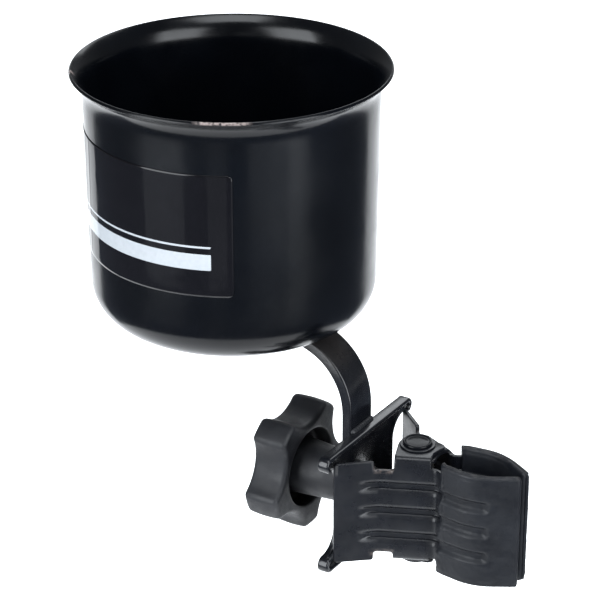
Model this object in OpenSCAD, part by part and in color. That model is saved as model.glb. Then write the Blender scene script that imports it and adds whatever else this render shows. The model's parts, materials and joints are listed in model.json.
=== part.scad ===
// Clamp-on drink holder: a pressed steel cup on a bent flat strap, carried by a
// toggle clamp whose two padded jaws close on a round stand tube.
// Axes: +X from the cup towards the jaws, +Y to the far jaw, +Z up.
// Origin: the middle of the closed grip, on the axis of the clamp screw.

/* [Cup] */
// Outside diameter of the cup just below its flared rim
cup_d = 84; // [80:1:90]
// Outside diameter that the slightly tapered wall would have at the cup's floor
cup_base_d = 82; // [78:1:84]
// Height from the underside of the floor to the lip
cup_h = 74.8; // [60:1:90]
// Thickness of the cup's steel sheet
cup_t = 1; // [0.8:0.1:1.5]
// How far the flared lip stands out past the wall
flare = 3.8; // [2:0.2:4]

/* [Strap] */
// Width of the flat bar
strap_w = 12; // [10:1:16]
// Thickness of the flat bar
strap_t = 3; // [2.5:0.5:4]
// Distance from the cup's axis to the front face of the strap
strap_reach = 43.3; // [42:0.5:50]
// Depth of the clamp screw's axis below the cup's floor
drop = 45.3; // [42:0.5:60]

/* [Jaws] */
// Thickness of the jaws' steel sheet
sheet = 1.2; // [1:0.1:1.5]
// Height of a jaw plate
jaw_h = 32; // [28:1:36]
// Depth of the three stiffening grooves
groove_depth = 0.8; // [0.5:0.1:0.9]
// Wall thickness of the vinyl sleeves
sleeve_t = 0.8; // [0.6:0.1:1]

/* [Knob] */
// Diameter over the lobes
knob_d = 40; // [34:1:42]
// Thickness of the knob
knob_t = 11.5; // [10:0.1:14]
// Number of lobes
lobes = 5; // [5:1:6]

/* [Hidden] */
$fn = 96;
eps = 0.01;
gap = 0.1;                       // running gap between faces that turn on each other

// Stations along X, measured from the cup's axis
cup_to_grip = 84;                // cup axis to the middle of the grip
cup_x = -cup_to_grip;
strap_front = cup_x + strap_reach;
strap_back = strap_front - strap_t;
cup_z = drop;                    // underside of the cup's floor

// Cup
cup_corner = 11.4;               // outside radius between floor and wall
flare_angle = 56;                // how far the lip turns out from the wall
flare_r = flare / (1 - cos(flare_angle));
flare_reach = flare_r * tan(flare_angle / 2);
lip_z = cup_h - cup_t / 2 * sin(flare_angle);
label_t = 0.12;
label_clear = 0.02;
label_from = -158;               // the label's ends round the cup's axis
label_to = -56;
label_low = 22.3;
label_high = 58.3;

// Strap
strap_bend_r = 21;               // outside radius of the bend
strap_under = 46;                // straight length under the cup's floor
strap_below = 15;                // length of strap below the screw's axis
weld_leg = 2.2;
weld_len = 20;

// Yoke
yoke_web = 2;
yoke_rim = 1.4;                  // how far the rim stands past the web
yoke_w = 48;
yoke_h = 37;
yoke_waist = 31;
yoke_tip_h = 4.6;
yoke_tip_r = 2.3;
yoke_fillet = 7;
rim_t = 1.9;
yoke_front = strap_front + yoke_web;

// Clamp screw, M6
screw_r = 2.95;
screw_hole_r = 3.3;
screw_tip = cup_x + 70;
head_af = 10;                    // across the flats of the hexagonal head
head_t = 4;
washer_t = 1;
washer_r = 7;
ring_t = 1;
ring_r = 5.5;
ring_groove_r = 2.3;
ring_x = yoke_front + gap;

// Knob
knob_back = cup_x + 15;
knob_face = knob_back + knob_t;
knob_scallop_r = 12;
knob_scallop_at = 26.9;
knob_corner_r = 2.2;
knob_turn = -38;                 // angle of the first lobe from straight up
recess_r = 12;
recess_depth = 6;
boss_root_r = 8.75;
boss_tip_r = 7.25;
boss_tip = strap_back - gap - washer_t;
cap_r = 7;
cap_rise = 1.2;
pocket_depth = 6.2;
cap_plug = 1.6;

// Pivot, on a vertical axis
pivot_x = cup_x + 62;
barrel_r = 4.75;
rivet_r = 2.5;
rivet_clear = 0.05;
rivet_depth = 9;                 // depth of the rivet holes in the barrel
rivet_head_r = 4.25;
rivet_head_t = 0.9;
pivot_washer_r = 5.1;
pivot_washer_t = 0.5;

// Jaw, drawn for the near side with Y measured outwards from the mid-plane
back_x = cup_x + 46.2;
bend_x = cup_x + 56.2;
neck_x = cup_x + 71;
tip_x = 11.2;
jaw_points = [[back_x, 20], [bend_x, 11.6], [neck_x, 4.8], [-9.6, 6.6],
              [1, 8.1], [tip_x, 1.9]];
jaw_radii = [0, 5, 2.6, 4, 16, 0];
notch_x = cup_x + 55;
notch_len = 5;
notch_depth = 2.7;
ear_x = cup_x + 60;
ear_len = 9.5;
ear_r = 5.6;
inner_ear = jaw_h / 2 - sheet;                  // height of the inner ear's inner face
outer_ear = jaw_h / 2 + 0.3;               // height of the outer ear's inner face
neck_step = 1.5;
pad_x = -11.5;                   // where the sleeve begins
sleeve_h = 35.4;
sleeve_tip = 0.9;                // vinyl past the end of the steel
sleeve_clear = 0.02;
groove_h = 3.9;
groove_pitch = 8.05;
groove_from = cup_x + 51;
groove_to = 5;
groove_ramp = 1.2;               // length over which a groove runs out

function unit(v) = v / norm(v);

// Points round the corner b, from the side of a to the side of c
function corner(a, b, c, r, n = 8) =
    let (u = unit(a - b), w = unit(c - b), half = acos(u * w) / 2,
         mid = b + unit(u + w) * r / sin(half),
         p = b + u * r / tan(half), q = b + w * r / tan(half),
         from = atan2(p.y - mid.y, p.x - mid.x),
         to = atan2(q.y - mid.y, q.x - mid.x),
         sweep = (to - from + 540) % 360 - 180)
    [for (i = [0:n]) mid + r * [cos(from + sweep * i / n), sin(from + sweep * i / n)]];

// A path with its corners rounded; radii has one entry for each point
function rounded(p, radii) =
    [for (i = [0:len(p) - 1])
        for (q = radii[i] > 0 ? corner(p[i - 1], p[i], p[i + 1], radii[i]) : [p[i]]) q];

// The path moved d to its left, with mitred corners, less inset[i] at each point
function side(p, d, inset = undef) =
    [for (i = [0:len(p) - 1])
        let (last = len(p) - 1,
             before = unit(i > 0 ? p[i] - p[i - 1] : p[1] - p[0]),
             after = unit(i < last ? p[i + 1] - p[i] : p[last] - p[last - 1]),
             along = unit(before + after))
        p[i] + (d - (is_undef(inset) ? 0 : inset[i])) / (along * before) * [-along.y, along.x]];

function backwards(p) = [for (i = [len(p) - 1:-1:0]) p[i]];

// Closed outline of the strip between two offsets of a path
function strip(p, low, high) = concat(side(p, low), backwards(side(p, high)));

// Height of a path over x, for a path whose x only grows
function at_x(p, x, i = 0) =
    i > len(p) - 3 || p[i + 1].x >= x
        ? p[i].y + (p[i + 1].y - p[i].y) * (x - p[i].x) / (p[i + 1].x - p[i].x)
        : at_x(p, x, i + 1);

// Such a path with a further point at each of the rising values xs
function with_stations(p, xs) =
    [for (i = [0:len(p) - 1])
        each concat([p[i]],
                    [for (x = xs)
                        if (i < len(p) - 1 && x > p[i].x + eps && x < p[i + 1].x - eps)
                            [x, at_x(p, x)]])];

// Where the line from p touches the circle round c on the side s, 1 or -1
function tangent_point(p, c, r, s) =
    let (far = norm(c - p), to_c = atan2(c.y - p.y, c.x - p.x),
         turn = to_c + s * asin(r / far))
    p + sqrt(far * far - r * r) * [cos(turn), sin(turn)];

function arc(c, r, from, to, n = 8) =
    [for (i = [0:n])
        let (a = from + ((to - from + 540) % 360 - 180) * i / n)
        c + r * [cos(a), sin(a)]];

function heading(from, to) = atan2(to.y - from.y, to.x - from.x);

module rounded_box_2d(w, h, r) {
    square([w, h - 2 * r], center = true);
    square([w - 2 * r, h], center = true);
    for (x = [-1, 1], y = [-1, 1])
        translate([x * (w / 2 - r), y * (h / 2 - r)]) circle(r);
}

// Lies along X, from x to x + len
module rod(x, len, r1, r2 = undef) {
    translate([x, 0, 0]) rotate([0, 90, 0])
        cylinder(h = len, r1 = r1, r2 = is_undef(r2) ? r1 : r2);
}

// ---- cup and strap ------------------------------------------------------

cup_wall = rounded(
    [[0, cup_t / 2],
     [cup_base_d / 2 - cup_t / 2, cup_t / 2],
     [cup_d / 2 - cup_t / 2, lip_z - flare_reach * cos(flare_angle)],
     [cup_d / 2 - cup_t / 2 + flare, lip_z]],
    [0, cup_corner - cup_t / 2, 0.97 * flare_r, 0]);

module cup() {
    color([0.05, 0.05, 0.06]) translate([cup_x, 0, cup_z])
        rotate_extrude($fn = 128) polygon(cup_profile);
}
cup_profile = let (out = side(cup_wall, -cup_t / 2), in = side(cup_wall, cup_t / 2))
    concat(out, backwards(in));

// Radius of the cup's outside at height z, between the corner and the lip
function cup_outside(z) =
    let (wall = [for (p = side(cup_wall, -cup_t / 2)) [p.y, p.x]])
    at_x([for (p = wall) if (p.x > cup_corner - 1 && p.x < cup_h - 1) p], z);

module cup_label() {
    low = cup_outside(label_low) + label_clear;
    high = cup_outside(label_high) + label_clear;
    color([0.02, 0.02, 0.02]) translate([cup_x, 0, cup_z])
        rotate([0, 0, label_from])
            rotate_extrude(angle = label_to - label_from, $fn = 128)
                polygon([[low, label_low], [low + label_t, label_low],
                         [high + label_t, label_high], [high, label_high]]);
}

strap_line = rounded(
    [[strap_front - strap_bend_r - strap_under, cup_z - strap_t / 2],
     [strap_front - strap_t / 2, cup_z - strap_t / 2],
     [strap_front - strap_t / 2, -strap_below]],
    [0, strap_bend_r - strap_t / 2, 0]);

module strap() {
    color([0.06, 0.06, 0.07]) difference() {
        translate([0, strap_w / 2, 0]) rotate([90, 0, 0])
            linear_extrude(strap_w)
                polygon(strip(strap_line, -strap_t / 2, strap_t / 2));
        rod(strap_back - 1, strap_t + 2, screw_hole_r);
    }
}

module cup_weld() {
    start = strap_front - strap_bend_r - weld_len;
    color([0.08, 0.08, 0.09])
        for (s = [-1, 1])
            translate([start, 0, cup_z]) rotate([90, 0, 90])
                linear_extrude(weld_len)
                    polygon([[s * strap_w / 2, 0], [s * (strap_w / 2 + weld_leg), 0],
                             [s * strap_w / 2, -weld_leg]]);
}

// ---- yoke ---------------------------------------------------------------

// Outline of the yoke's web in Y and Z, drawn inset by d
module yoke_outline(d = 0) {
    side_cut = yoke_w - yoke_waist;
    difference() {
        rounded_box_2d(yoke_w - 2 * d, yoke_h - 2 * d, yoke_tip_r - d / 2);
        for (s = [-1, 1])
            translate([s * (yoke_waist + side_cut) / 2, 0])
                rounded_box_2d(side_cut + 2 * d, yoke_h - 2 * yoke_tip_h + 2 * d,
                               yoke_fillet + d);
    }
}

module yoke() {
    color([0.05, 0.05, 0.06]) difference() {
        translate([strap_front, 0, 0]) rotate([90, 0, 90]) {
            linear_extrude(yoke_web) yoke_outline();
            // Rim turned forward along the top, the bottom and round the tips
            linear_extrude(yoke_web + yoke_rim) difference() {
                yoke_outline();
                square([yoke_w - 2 * rim_t, yoke_h - 2 * rim_t], center = true);
                square([2 * yoke_w, yoke_h - 2 * yoke_tip_h + 2], center = true);
            }
        }
        rod(strap_front - 1, yoke_web + yoke_rim + 2, screw_hole_r);
    }
}

module yoke_weld() {
    // Beads where the strap crosses the top edge of the yoke and in its lower corners
    color([0.08, 0.08, 0.09]) {
        translate([strap_front, -strap_w / 2, yoke_h / 2]) rotate([-90, 0, 0])
            linear_extrude(strap_w)
                polygon([[0, 0], [yoke_web, 0], [0, -weld_leg]]);
        for (s = [-1, 1])
            translate([strap_front, s * strap_w / 2, -strap_below])
                linear_extrude(weld_len / 2)
                    polygon([[0, 0], [-weld_leg, 0], [0, s * weld_leg]]);
    }
}

// ---- knob and screw -----------------------------------------------------

// Outline of one pitch of the knob, from the middle of a lobe's left scallop on
function knob_lobe(at) =
    let (pitch = 180 / lobes, r = knob_d / 2, q = knob_corner_r,
         d = knob_scallop_at, reach = knob_scallop_r + q,
         open = acos(((r - q) * (r - q) + d * d - reach * reach) / (2 * (r - q) * d)),
         b = pitch - open,
         before = d * [cos(at - pitch), sin(at - pitch)],
         after = d * [cos(at + pitch), sin(at + pitch)],
         c1 = (r - q) * [cos(at - b), sin(at - b)],
         c2 = (r - q) * [cos(at + b), sin(at + b)],
         next = (r - q) * [cos(at + 2 * pitch - b), sin(at + 2 * pitch - b)])
    concat(arc(c1, q, heading(c1, before), at - b, 5),
           arc([0, 0], r, at - b, at + b, 4),
           arc(c2, q, at + b, heading(c2, after), 5),
           arc(after, knob_scallop_r, heading(after, c2), heading(after, next), 9));

module knob() {
    star = [for (k = [0:lobes - 1]) each knob_lobe(k * 360 / lobes)];
    color([0.07, 0.07, 0.07]) difference() {
        union() {
            difference() {
                translate([knob_back, 0, 0]) rotate([knob_turn, 0, 0])
                    rotate([90, 0, 90]) linear_extrude(knob_t)
                        rotate(90) polygon(star);
                rod(knob_face - recess_depth, recess_depth + 1, recess_r);
            }
            rod(knob_face - recess_depth - 1, boss_tip - knob_face + recess_depth + 1,
                boss_root_r, boss_tip_r);
        }
        rod(knob_back - 1, boss_tip - knob_back + 2, screw_r + rivet_clear);
        rod(knob_back - 1, cap_plug + 1, cap_r - 1);
        // Pocket that keeps the screw's hexagonal head from turning
        translate([knob_back - 1, 0, 0]) rotate([0, 90, 0])
            cylinder(h = pocket_depth + 1, d = head_af / cos(30), $fn = 6);
    }
}

module knob_cap() {
    dome_r = (pow(cap_r - 1, 2) + pow(cap_rise, 2)) / (2 * cap_rise);
    color([0.12, 0.12, 0.12]) {
        rod(knob_back, cap_plug, cap_r - 1);
        intersection() {
            translate([knob_back - cap_rise + dome_r, 0, 0]) sphere(dome_r);
            rod(knob_back - cap_rise, cap_rise, cap_r - 1);
        }
    }
}

module clamp_screw() {
    head_x = knob_back + pocket_depth - head_t;
    shank_x = knob_back + pocket_depth;
    color([0.45, 0.45, 0.47]) difference() {
        union() {
            translate([head_x, 0, 0]) rotate([0, 90, 0])
                cylinder(h = head_t, d = head_af / cos(30), $fn = 6);
            rod(shank_x - eps, screw_tip - 1 - shank_x + eps, screw_r);
            rod(screw_tip - 1, 1, screw_r, screw_r - 1);
        }
        difference() {
            rod(ring_x - eps, ring_t + 2 * eps, screw_r + 1);
            rod(ring_x - 1, ring_t + 2, ring_groove_r);
        }
    }
}

module thrust_washer() {
    color([0.5, 0.5, 0.52]) difference() {
        rod(boss_tip, washer_t, washer_r);
        rod(boss_tip - 1, washer_t + 2, screw_r + rivet_clear);
    }
}

module retaining_ring() {
    color([0.4, 0.4, 0.42]) difference() {
        rod(ring_x, ring_t, ring_r);
        rod(ring_x - 1, ring_t + 2, ring_groove_r + eps);
        // Open side of the ring, for pushing it on
        translate([ring_x - 1, -ring_groove_r * 0.8, 0])
            cube([ring_t + 2, ring_groove_r * 1.6, ring_r + 1]);
    }
}

// ---- pivot --------------------------------------------------------------

module at_pivot() {
    translate([pivot_x, 0, 0]) children();
}

module pivot_barrel() {
    half = inner_ear - 2 * gap;
    color([0.3, 0.3, 0.32]) difference() {
        at_pivot() cylinder(h = 2 * half, r = barrel_r, center = true);
        rod(pivot_x - barrel_r - 1, 2 * barrel_r + 2, screw_r + rivet_clear);
        for (s = [0, 180])
            at_pivot() rotate([s, 0, 0]) translate([0, 0, half - rivet_depth])
                cylinder(h = rivet_depth + 1, r = rivet_r);
    }
}

module pivot_rivets() {
    half = inner_ear - 2 * gap;
    seat = outer_ear + sheet + gap + pivot_washer_t;
    bottom = half - rivet_depth;
    dome_r = (pow(rivet_head_r, 2) + pow(rivet_head_t, 2)) / (2 * rivet_head_t);
    color([0.05, 0.05, 0.05])
        for (s = [0, 180])
            at_pivot() rotate([s, 0, 0]) {
                translate([0, 0, bottom]) cylinder(h = seat - bottom + eps, r = rivet_r);
                intersection() {
                    translate([0, 0, seat + rivet_head_t - dome_r]) sphere(dome_r);
                    translate([0, 0, seat]) cylinder(h = rivet_head_t, r = rivet_head_r);
                }
            }
}

module pivot_washers() {
    seat = outer_ear + sheet + gap;
    color([0.3, 0.3, 0.3])
        for (s = [0, 180])
            at_pivot() rotate([s, 0, 0]) translate([0, 0, seat]) difference() {
                cylinder(h = pivot_washer_t, r = pivot_washer_r);
                translate([0, 0, -1]) cylinder(h = pivot_washer_t + 2, r = rivet_r + eps);
            }
}

// ---- jaws ---------------------------------------------------------------

// Middle of the sheet, with a point at each place where its section changes
jaw_line = with_stations(rounded(jaw_points, jaw_radii),
                         [groove_from, groove_from + groove_ramp, pad_x,
                          groove_to - groove_ramp, groove_to]);

// Stretch of it that the sleeve covers, run on past the end of the steel
sleeve_line = let (steel = [for (p = jaw_line) if (p.x > pad_x - eps) p],
                   last = len(steel) - 1)
    concat([for (i = [0:last - 1]) steel[i]],
           [steel[last] + sleeve_tip * unit(steel[last] - steel[last - 1])]);

function limited(x) = min(1, max(0, x));

// How far a groove pushes the sheet towards the mid-plane at x
function groove_at(x) =
    groove_depth * limited((x - groove_from) / groove_ramp)
                 * limited((groove_to - x) / groove_ramp);

// Section of a layer round a path, from low to high, pressed in if grooved
module section(p, low, high, grooved) {
    d = [for (q = p) grooved ? groove_at(q.x) : 0];
    polygon(concat(side(p, low, d), backwards(side(p, high, d))));
}

// Children are drawn for each groove, or for each plain band between them,
// over the height h; $grooved tells them which
module bands(h) {
    edge = groove_pitch + groove_h / 2;
    land = groove_pitch - groove_h;
    for (k = [-1:1]) {
        $grooved = true;
        translate([0, 0, k * groove_pitch - groove_h / 2])
            linear_extrude(groove_h) children();
    }
    for (z = [-edge + groove_h, groove_h / 2]) {
        $grooved = false;
        translate([0, 0, z]) linear_extrude(land) children();
    }
    for (z = [-h / 2, edge]) {
        $grooved = false;
        translate([0, 0, z]) linear_extrude(h / 2 - edge) children();
    }
}

// Tab from the jaw's plate to a round end on the pivot, standing on z = 0
module ear() {
    root1 = [ear_x, at_x(jaw_line, ear_x)];
    root2 = [ear_x + ear_len, at_x(jaw_line, ear_x + ear_len)];
    c = [pivot_x, 0];
    linear_extrude(sheet) {
        translate(c) circle(ear_r);
        polygon([root1, root2, tangent_point(root2, c, ear_r, 1), c,
                 tangent_point(root1, c, ear_r, -1)]);
        polygon(strip([root1, root2], -sheet / 2, sheet / 2));
    }
}

// One stamping, used for both jaws, with its outer ear on top
module jaw() {
    root = [for (x = [ear_x, ear_x + ear_len]) [x, at_x(jaw_line, x)]];
    rise = outer_ear - jaw_h / 2;
    difference() {
        union() {
            bands(jaw_h) section(jaw_line, -sheet / 2, sheet / 2, $grooved);
            translate([0, 0, jaw_h / 2]) linear_extrude(rise)
                polygon(strip(root, -sheet / 2, sheet / 2));
            translate([0, 0, outer_ear]) ear();
            translate([0, 0, -inner_ear - sheet]) ear();
        }
        for (s = [-1, 1]) {
            // Relief notch at the bend
            translate([notch_x, 0, s * jaw_h / 2 - notch_depth])
                cube([notch_len, 20, 2 * notch_depth]);
            // Step at the neck
            translate([ear_x + ear_len, 0, s * jaw_h / 2 - neck_step])
                cube([pad_x - ear_x - ear_len, 12, 2 * neck_step]);
        }
        at_pivot() cylinder(h = 60, r = rivet_r + rivet_clear, center = true);
    }
}

module sleeve() {
    wall = sheet / 2 + sleeve_t;
    inside = sheet / 2 + sleeve_clear;
    bands(jaw_h) difference() {
        section(sleeve_line, -wall, wall, $grooved);
        section(jaw_line, -inside, inside, $grooved);
    }
    // Vinyl folded over the top and bottom edges of the steel
    for (s = [0, 1])
        mirror([0, 0, s]) translate([0, 0, jaw_h / 2])
            linear_extrude((sleeve_h - jaw_h) / 2)
                section(sleeve_line, -wall, wall, false);
}

module near_side() { mirror([0, 1, 0]) children(); }
module far_side() { rotate([180, 0, 0]) near_side() children(); }

module near_jaw() { color([0.06, 0.06, 0.07]) near_side() jaw(); }
module near_jaw_sleeve() { color([0.09, 0.09, 0.09]) near_side() sleeve(); }
module far_jaw() { color([0.06, 0.06, 0.07]) far_side() jaw(); }
module far_jaw_sleeve() { color([0.09, 0.09, 0.09]) far_side() sleeve(); }

cup();
cup_label();
strap();
cup_weld();
yoke();
yoke_weld();
knob();
knob_cap();
clamp_screw();
thrust_washer();
retaining_ring();
pivot_barrel();
pivot_rivets();
pivot_washers();
near_jaw();
near_jaw_sleeve();
far_jaw();
far_jaw_sleeve();
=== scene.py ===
# The looks of a clamp-on drink holder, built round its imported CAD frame.
# Lengths below are in millimetres in the row frame, and become metres in add_mesh.
import json
import math

import bmesh
import bpy
from mathutils import Matrix, Vector, noise


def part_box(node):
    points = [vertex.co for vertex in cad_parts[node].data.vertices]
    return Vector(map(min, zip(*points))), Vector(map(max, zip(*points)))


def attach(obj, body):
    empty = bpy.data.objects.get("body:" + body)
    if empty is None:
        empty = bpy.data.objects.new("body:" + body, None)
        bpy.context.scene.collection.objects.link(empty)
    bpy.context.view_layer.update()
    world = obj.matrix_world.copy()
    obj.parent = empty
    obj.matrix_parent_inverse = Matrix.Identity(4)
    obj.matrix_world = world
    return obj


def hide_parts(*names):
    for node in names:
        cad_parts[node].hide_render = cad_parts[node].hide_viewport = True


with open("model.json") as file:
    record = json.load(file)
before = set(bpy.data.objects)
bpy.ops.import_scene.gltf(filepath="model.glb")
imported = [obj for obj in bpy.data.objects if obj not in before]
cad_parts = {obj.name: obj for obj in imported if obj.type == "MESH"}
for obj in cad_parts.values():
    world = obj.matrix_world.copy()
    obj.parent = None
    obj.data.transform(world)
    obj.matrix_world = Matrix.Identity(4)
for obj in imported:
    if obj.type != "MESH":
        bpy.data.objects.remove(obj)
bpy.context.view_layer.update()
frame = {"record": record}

MM = 0.001


def mm_box(node):
    """A CAD node's lowest and highest corners in millimetres."""
    low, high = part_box(node)
    return low / MM, high / MM


# ---- sizes, from the frame and the drawing --------------------------------

CUP_LOW, CUP_HIGH = mm_box("cup")
CUP_X = (CUP_LOW.x + CUP_HIGH.x) / 2
CUP_Z = CUP_LOW.z
CUP_H = CUP_HIGH.z - CUP_LOW.z
CUP_R, CUP_BASE_R, CUP_T = 42.0, 41.0, 1.0
CUP_CORNER, CUP_FLARE, FLARE_ANGLE = 11.4, 3.8, 56.0
LIP_SQUARENESS = 0.45
LIP_CHIPS = ((-59.8, 10.0), (-141.0, 1.3))      # angle round the cup, half width, in degrees

LABEL_FROM, LABEL_TO = -157.5, -56.5     # degrees round the cup
LABEL_T, LABEL_CORNER, LABEL_CREASES = 0.10, 1.6, (12.5, 15.0, 19.0)
PRINT_MARGIN, PRINT_BANDS = 6, ((8.0, 12.4), (14.2, 15.2))

STRAP_LOW, STRAP_HIGH = mm_box("strap")
STRAP_W = STRAP_HIGH.y - STRAP_LOW.y
STRAP_FRONT = STRAP_HIGH.x
STRAP_T = 3.0
STRAP_BACK = STRAP_FRONT - STRAP_T
STRAP_BEND_R = 21.0
STRAP_EDGE, SCREW_HOLE_R = 0.55, 3.3
BURN_AT = (-52, -2, 42)                  # middle of the weld's burn

YOKE_LOW, YOKE_HIGH = mm_box("yoke")
YOKE_W, YOKE_H = YOKE_HIGH.y - YOKE_LOW.y, YOKE_HIGH.z - YOKE_LOW.z
YOKE_WEB, YOKE_RIM = 2.0, YOKE_HIGH.x - YOKE_LOW.x - 2.0
# The waist's fillet ends before the tip's rounding starts: the outline must not double back
YOKE_WAIST, YOKE_TIP_H, YOKE_TIP_R, YOKE_FILLET = 31.0, 4.6, 2.25, 6.2
RIM_FROM_Z, RIM_FROM_Y = 16.1, 21.4      # where the rim starts, at the top and at the tips

KNOB_LOW, KNOB_HIGH = mm_box("knob")
KNOB_BACK, BOSS_TIP = KNOB_LOW.x, KNOB_HIGH.x
KNOB_R, KNOB_T, LOBES = 20.0, 11.5, 5
KNOB_FACE = KNOB_BACK + KNOB_T
SCALLOP_R, SCALLOP_AT, LOBE_CORNER_R, KNOB_TURN = 12.0, 26.9, 2.2, -38.0
RECESS_R, RECESS_DEPTH, BOSS_ROOT_R, BOSS_TIP_R = 12.0, 6.0, 8.75, 7.25

SCREW_LOW, SCREW_HIGH = mm_box("clamp_screw")
SCREW_R, SCREW_PITCH = 2.95, 1.0
RING_LOW, RING_HIGH = mm_box("retaining_ring")

BARREL_LOW, BARREL_HIGH = mm_box("pivot_barrel")
PIVOT_X = (BARREL_LOW.x + BARREL_HIGH.x) / 2
BARREL_R = (BARREL_HIGH.x - BARREL_LOW.x) / 2
RIVET_HIGH = mm_box("pivot_rivets")[1].z
WASHER_HIGH = mm_box("pivot_washers")[1].z
RIVET_R, RIVET_HEAD_R, PIVOT_WASHER_R, PIVOT_WASHER_T = 2.5, 4.25, 5.1, 0.5

SHEET, JAW_H = 1.2, 32.0
JAW_POINTS = [(-37.8, 20.0), (-27.8, 11.6), (-13.0, 4.8), (-9.6, 6.6), (1.0, 8.1), (11.2, 1.9)]
JAW_RADII = [0, 5, 2.6, 4, 16, 0]
NOTCH_FROM, NOTCH_TO, NOTCH_DEPTH = -29.0, -24.0, 2.7
EAR_FROM, EAR_TO, EAR_R = -24.0, -14.5, 5.6
PAD_FROM, NECK_STEP = -11.5, 1.5
OUTER_EAR, INNER_EAR = JAW_H / 2 + 0.3, JAW_H / 2 - SHEET
GROOVE_FROM, GROOVE_TO, GROOVE_DEPTH, GROOVE_W, GROOVE_PITCH = -33.0, 5.0, 1.15, 3.9, 8.05
SLEEVE_T, SLEEVE_H, SLEEVE_TIP = 0.8, 35.4, 0.9
HALF_GAP = 0.26                          # from the middle plane to a closed jaw's sleeve

CAMERA_AIM = (-67.8, 10.1, 47.6)
FLOOR_Z, FLOOR_HALF = -160, 20000
FLAG_FROM, FLAG_TO, FLAG_RADII = -187, 70, (240, 2500)      # degrees from +X


# ---- small geometry helpers ------------------------------------------------


def smooth_step(x, low, high):
    t = min(1.0, max(0.0, (x - low) / (high - low)))
    return t * t * (3 - 2 * t)


def wobble(p, scale, seed=0.0):
    """Smooth noise from -1 to 1 at a point in millimetres, with features about scale across."""
    return noise.noise(Vector(p) / scale + Vector((seed, seed * 1.7, -seed)))


def rounded(points, radii, steps=10):
    """A 2-D path with its corners rounded; radii has one entry for each point."""
    out = []
    for i, (p, r) in enumerate(zip(points, radii)):
        b = Vector(p)
        if not r:
            out.append(b)
            continue
        u = (Vector(points[i - 1]) - b).normalized()
        w = (Vector(points[i + 1]) - b).normalized()
        half = u.angle(w) / 2
        mid = b + (u + w).normalized() * r / math.sin(half)
        start = b + u * r / math.tan(half) - mid
        end = b + w * r / math.tan(half) - mid
        sweep = math.atan2(start.x * end.y - start.y * end.x, start.dot(end))
        out += [mid + Matrix.Rotation(sweep * k / steps, 2) @ start for k in range(steps + 1)]
    return out


def arc_points(centre, r, start, end, steps):
    """Points on a circle from one angle to another, in degrees."""
    angles = [math.radians(start + (end - start) * k / steps) for k in range(steps + 1)]
    return [Vector((centre[0] + r * math.cos(a), centre[1] + r * math.sin(a))) for a in angles]


class Line:
    """A 2-D path measured by the length s along it."""

    def __init__(self, points):
        self.p = [Vector(q) for q in points]
        self.s = [0.0]
        for a, b in zip(self.p, self.p[1:]):
            self.s.append(self.s[-1] + (b - a).length)
        self.length = self.s[-1]
        last = len(self.p) - 1
        self.t = [(self.p[min(i + 1, last)] - self.p[max(i - 1, 0)]).normalized()
                  for i in range(last + 1)]

    def at(self, s):
        """(point, unit tangent) at length s; past an end the path runs straight on."""
        if s <= 0:
            return self.p[0] + self.t[0] * s, self.t[0]
        if s >= self.length:
            return self.p[-1] + self.t[-1] * (s - self.length), self.t[-1]
        i = next(k for k in range(len(self.s) - 1) if self.s[k + 1] >= s)
        f = (s - self.s[i]) / (self.s[i + 1] - self.s[i])
        return self.p[i].lerp(self.p[i + 1], f), self.t[i].lerp(self.t[i + 1], f).normalized()

    def s_at_x(self, x):
        for i, (a, b) in enumerate(zip(self.p, self.p[1:])):
            if a.x <= x <= b.x:
                return self.s[i] + (self.s[i + 1] - self.s[i]) * (x - a.x) / (b.x - a.x)
        raise ValueError("x is off the line")


def spread(start, end, step):
    """Evenly spaced numbers from start to end, no further apart than step."""
    n = max(1, math.ceil((end - start) / step))
    return [start + (end - start) * k / n for k in range(n + 1)]


def add_mesh(name, bm):
    """An object from a bmesh in millimetres, with normals out and smooth shading."""
    bmesh.ops.recalc_face_normals(bm, faces=bm.faces)
    bmesh.ops.scale(bm, vec=(MM, MM, MM), verts=bm.verts)
    mesh = bpy.data.meshes.new(name)
    bm.to_mesh(mesh)
    bm.free()
    mesh.shade_smooth()
    piece = bpy.data.objects.new(name, mesh)
    bpy.context.scene.collection.objects.link(piece)
    return piece


def sharpen(piece, angle=40):
    """Keeps edges sharper than angle crisp."""
    bm = bmesh.new()
    bm.from_mesh(piece.data)
    for edge in bm.edges:
        if len(edge.link_faces) == 2:
            edge.smooth = edge.calc_face_angle(0) < math.radians(angle)
    bm.to_mesh(piece.data)
    bm.free()


def join_loops(bm, a, b, closed=True):
    """Quads between two loops of vertices of one length, or triangles where they meet."""
    n = len(a)
    for i in range(n if closed else n - 1):
        j = (i + 1) % n
        face = list(dict.fromkeys((a[i], a[j], b[j], b[i])))
        if len(face) > 2:
            bm.faces.new(face)


def join_chain(bm, loops, closed=True, capped=False):
    """Quads from each loop to the next, and a face over both end loops if capped."""
    for a, b in zip(loops, loops[1:]):
        join_loops(bm, a, b, closed)
    if capped:
        bm.faces.new(loops[0])
        bm.faces.new(loops[-1])


def ring(bm, x, points):
    """Vertices at one x, for a 2-D outline in Y and Z."""
    return [bm.verts.new((x, q.x, q.y)) for q in points]


def circle(r, n):
    """n points round the origin, anticlockwise."""
    return arc_points((0, 0), r, 0, 360, n)[:-1]


def revolve(bm, profile, frame_of, segments=72, closed=True):
    """Turns a profile of (radius, height) round an axis; frame_of maps x, y, h to a point."""
    loops = []
    for r, h in profile:
        if r < 1e-6:
            loops.append([bm.verts.new(frame_of(0, 0, h))] * segments)
        else:
            angles = [2 * math.pi * k / segments for k in range(segments)]
            loops.append([bm.verts.new(frame_of(r * math.cos(a), r * math.sin(a), h))
                          for a in angles])
    join_chain(bm, loops + loops[:1] if closed else loops)


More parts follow.
